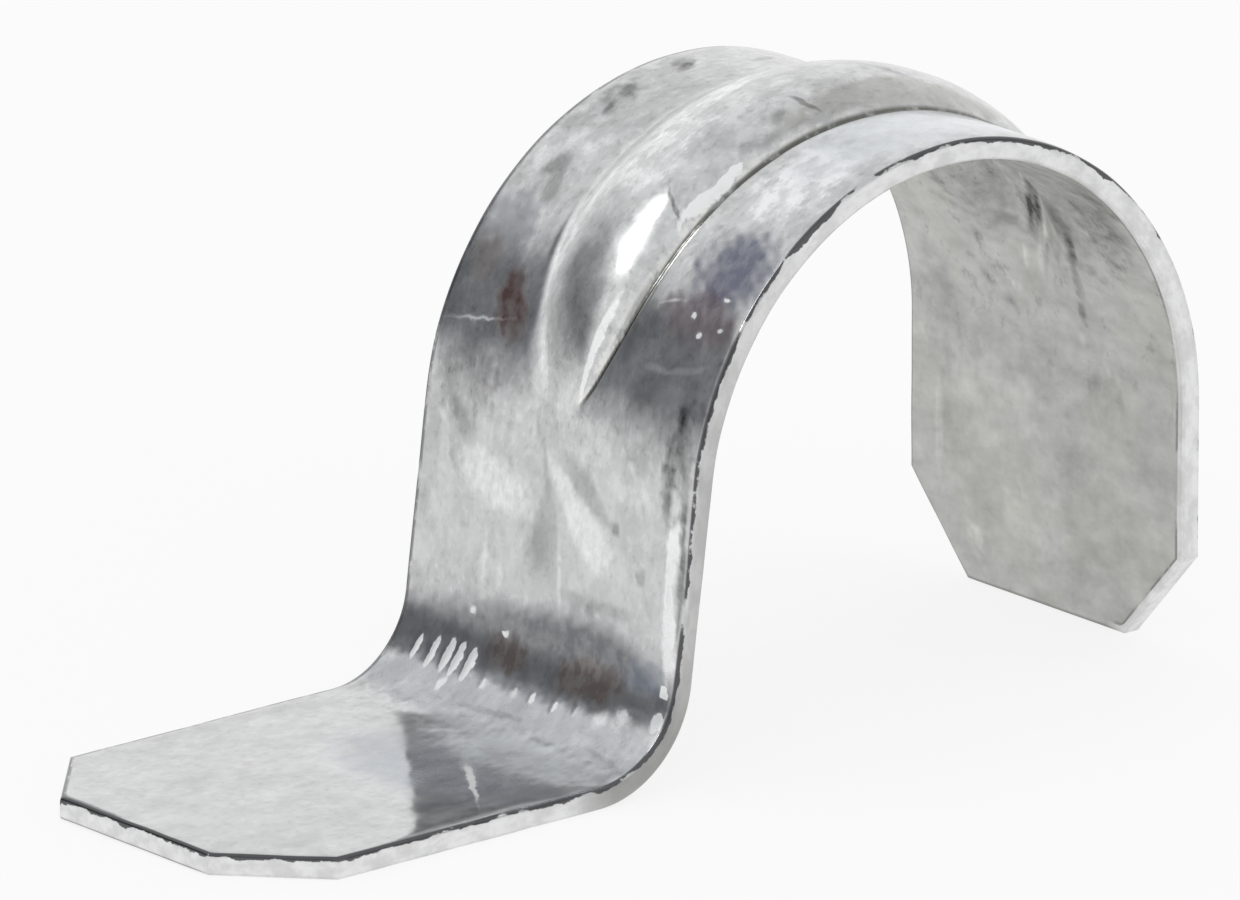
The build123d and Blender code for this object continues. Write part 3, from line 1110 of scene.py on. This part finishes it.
paper_links.new(paper_white.outputs["Emission"], paper_mix.inputs[2])
paper_links.new(paper_mix.outputs["Shader"], paper_nodes["Material Output"].inputs["Surface"])
floor.data.materials.append(paper)

# World: white all round and a little darker overhead, with a dark panel at the back left and two fainter
# ones at the front left and front right, as in a studio with unlit walls.
white = (1, 1, 1, 1)
ceiling_colour = (0.82, 0.825, 0.83, 1)
ceiling_heights = (0.35, 0.9)
panel_colour = (0.13, 0.135, 0.15, 1)
panel_top = (0.60, 0.44)
panel_foot = (0.02, 0.2, 0.45, 1.0)
back_panel = (-0.61, 0.79, 0)
back_core = 18
back_edge = 38
front_panels = ((0.77, -0.64, 0), (-0.71, -0.71, 0))
front_core = 12
front_edge = 32
front_strength = 0.62
world = bpy.data.worlds.new("studio")
bpy.context.scene.world = world
world.use_nodes = True
sky = Graph(world.node_tree)
background = sky.nodes["Background"]
background.inputs["Strength"].default_value = 1.0
direction = sky.nodes.new("ShaderNodeTexCoord").outputs["Generated"]
heading = sky.vector("NORMALIZE", sky.vector("MULTIPLY", direction, (1, 1, 0)))
heights = sky.nodes.new("ShaderNodeSeparateXYZ")
sky.links.new(direction, heights.inputs[0])
height = heights.outputs["Z"]


def panel(facing, core, edge):
    """An upright panel in one direction: 1 within the core angle, 0 past the edge angle."""
    toward = sky.vector("DOT_PRODUCT", heading, Vector(facing).normalized())
    return sky.span(toward, math.cos(math.radians(edge)), math.cos(math.radians(core)))


dark_share = panel(back_panel, back_core, back_edge)
for facing in front_panels:
    front_dark = sky.product(panel(facing, front_core, front_edge), front_strength)
    dark_share = sky.calc("MAXIMUM", dark_share, front_dark)
dark_share = sky.product(dark_share, sky.span(height, *panel_top), sky.span(height, *panel_foot))
world_seen = sky.nodes.new("ShaderNodeLightPath")
studio = sky.blend(sky.span(height, *ceiling_heights), white, ceiling_colour)
studio = sky.blend(dark_share, studio, panel_colour)
studio = sky.blend(world_seen.outputs["Is Camera Ray"], studio, white)
sky.links.new(studio, background.inputs["Color"])


def strip_light(name, low, high, distance, width, power):
    """A strip soft box that faces the strap, from one direction to another."""
    first = Vector(low).normalized()
    last = Vector(high).normalized()
    lamp = bpy.data.lights.new(name, "AREA")
    lamp.shape = "RECTANGLE"
    lamp.size = (last - first).length * distance
    lamp.size_y = width
    lamp.energy = power
    holder = bpy.data.objects.new(name, lamp)
    bpy.context.scene.collection.objects.link(holder)
    facing = (first + last).normalized()
    along = (last - first).normalized()
    holder.matrix_world = Matrix((along, facing.cross(along), facing)).transposed().to_4x4()
    holder.location = facing * distance
    return holder


# One strip, for the highlight on the bead.
key_low = (-0.757, 0.135, 0.639)
key_high = (-0.40, 0.27, 0.87)
key_distance = 0.6
key_width = 0.07
key_power = 1.0
key = strip_light("key", key_low, key_high, key_distance, key_width, key_power)
key.visible_diffuse = False

# Camera with a long lens, as in the photograph.
azimuth = math.radians(-40.33)
elevation = math.radians(17.62)
aim = Vector((-9.208, 1.115, 0.216)) * MILLIMETRE
distance = 1.0
back = Vector((
    math.sin(azimuth) * math.cos(elevation),
    -math.cos(azimuth) * math.cos(elevation),
    math.sin(elevation),
))
right = Vector((math.cos(azimuth), math.sin(azimuth), 0))
up = back.cross(right)
camera_data = bpy.data.cameras.new("camera")
camera_data.sensor_fit = "HORIZONTAL"
camera_data.sensor_width = 36.0
camera_data.lens = 724.5
camera_data.clip_start = 0.05
camera_data.clip_end = 50.0
camera = bpy.data.objects.new("camera", camera_data)
bpy.context.scene.collection.objects.link(camera)
facing_camera = Matrix((right, up, back)).transposed().to_4x4()
camera.matrix_world = Matrix.Translation(aim + back * distance) @ facing_camera
bpy.context.scene.camera = camera
bpy.context.scene.view_settings.view_transform = "Standard"
